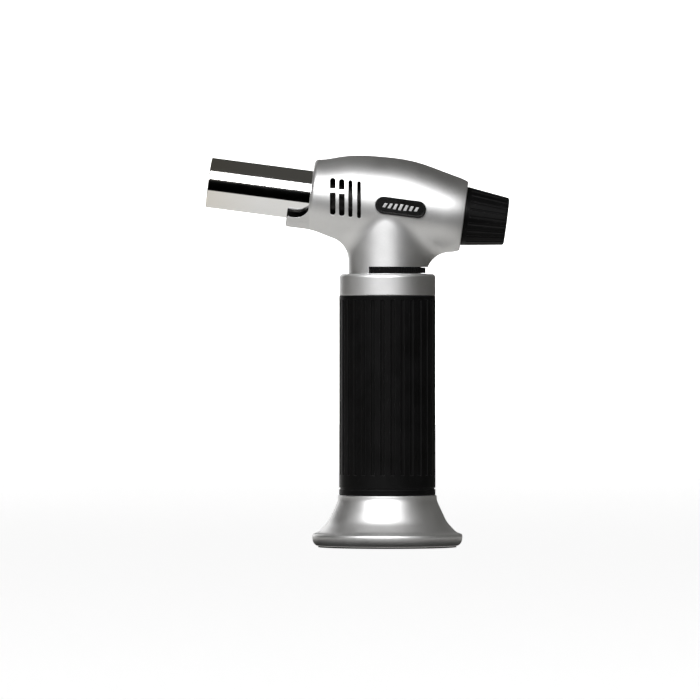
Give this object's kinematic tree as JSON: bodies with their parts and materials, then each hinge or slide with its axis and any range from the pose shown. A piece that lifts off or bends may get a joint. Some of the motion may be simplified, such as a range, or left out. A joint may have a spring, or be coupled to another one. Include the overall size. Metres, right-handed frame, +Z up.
{
  "type": "butane torch",
  "caption": "Refillable butane torch: ribbed grip tank on a flared base, tilted head with a chromed burner tube, piezo igniter button and a turning gas ring.",
  "frame": {"origin": "centre of the base's underside, on the axis of the tank and grip", "axes": "+Z up the grip; the burner points to -X and rises 7.5 degrees; the badge is on the -Y side"},
  "size_m": [0.1556, 0.077, 0.2005],
  "materials": {
    "silver_shell": "satin metallic silver lacquer",
    "grip_black": "semi-gloss moulded",
    "control_black": "satin moulded",
    "burner_chrome": "bright chrome plate",
    "foot_rubber": "matt",
    "tank_aluminium": "as drawn and turned",
    "brass": "turned",
    "copper": "drawn",
    "stainless": "plain",
    "screw_steel": "zinc plated",
    "spring_steel": "bright wire",
    "ceramic": "unglazed",
    "lead_insulation": "silicone",
    "piezo_plastic": "moulded",
    "contact_brass": "stamped",
    "seal_rubber": "smooth",
    "badge_black": "gloss",
    "badge_silver": "foil"
  },
  "bodies": {
    "torch_body": {"badge_bars": "badge_silver", "badge_plate": "badge_black", "base_screws": "screw_steel", "base_skirt": "silver_shell", "burner_cup": "brass", "burner_tube": "burner_chrome", "collar": "silver_shell", "electrode_insulator": "ceramic", "flame_disc": "stainless", "foot_ring": "foot_rubber", "front_spider": "stainless", "fuel_tank": "tank_aluminium", "gas_filter": "stainless", "gas_jet": "brass", "gas_pipe": "copper", "grip_sleeve": "grip_black", "head_screws": "screw_steel", "head_shell_left": "silver_shell", "head_shell_right": "silver_shell", "ignition_electrode": "stainless", "ignition_lead": "lead_insulation", "jet_block": "brass", "mixing_tube": "brass", "piezo_contact": "contact_brass", "piezo_housing": "piezo_plastic", "piezo_spring": "spring_steel", "rear_spider": "stainless", "refill_retainer": "stainless", "refill_seal": "seal_rubber", "refill_spring": "spring_steel", "refill_valve_body": "brass", "spindle_seal": "seal_rubber", "tank_cap": "tank_aluminium", "tank_cap_seal": "seal_rubber", "tube_mount": "tank_aluminium", "tube_screw": "screw_steel", "valve_body": "brass", "valve_gasket": "seal_rubber"},
    "igniter_button": {"ignition_button": "control_black", "piezo_plunger": "piezo_plastic"},
    "gas_control": {"gas_ring": "control_black", "valve_spindle": "stainless", "spindle_screw": "screw_steel"},
    "refill_stem": {"refill_valve_stem": "stainless"}
  },
  "joints": [
    {"name": "ignition_button_press", "type": "slide", "parent": "torch_body", "child": "igniter_button", "axis": [-0.9914, 0, 0.1305], "range_m": [0, 0.006], "stiffness_N_per_m": 1500, "springref_m": -0.002, "deforming": ["piezo_spring"]},
    {"name": "gas_ring_turn", "type": "hinge", "parent": "torch_body", "child": "gas_control", "pos_m": [0, 0, 0.1417], "axis": [0, 0, 1], "range_deg": [0, 60]},
    {"name": "refill_stem_press", "type": "slide", "parent": "torch_body", "child": "refill_stem", "axis": [0, 0, 1], "range_m": [0, 0.0015], "stiffness_N_per_m": 900, "springref_m": -0.002, "deforming": ["refill_spring"]}
  ]
}
